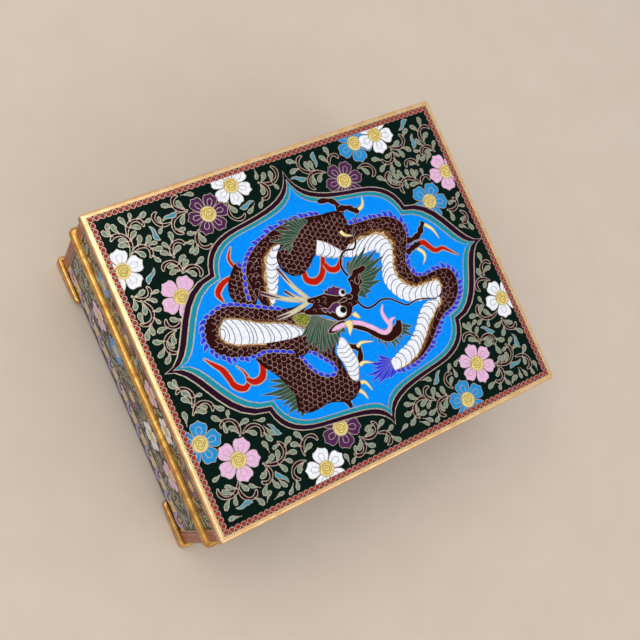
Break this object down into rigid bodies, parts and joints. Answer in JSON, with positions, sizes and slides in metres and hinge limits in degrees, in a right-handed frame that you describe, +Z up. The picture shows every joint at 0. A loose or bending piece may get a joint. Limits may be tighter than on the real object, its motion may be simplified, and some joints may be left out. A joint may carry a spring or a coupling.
{
  "type": "cloisonne enamel box",
  "caption": "Rectangular cloisonne enamel box with a lift-off lid, gilt edges and four bracket feet, for keeping small things.",
  "frame": {"origin": "centre of the box's footprint, on the surface that its feet stand on", "axes": "+X along the length, +Y towards the back, +Z up through the lid"},
  "size_m": [0.174, 0.144, 0.076],
  "materials": {
    "enamel": "polished vitreous enamel on copper, with flush gilt wires",
    "gilt": "worn fire-gilt brass, softly polished"
  },
  "bodies": {
    "root": {"lid_shell": "enamel", "lid_rim": "gilt", "base_shell": "enamel", "base_rim": "gilt", "foot_front_left": "gilt", "foot_front_right": "gilt", "foot_back_left": "gilt", "foot_back_right": "gilt"}
  },
  "joints": []
}
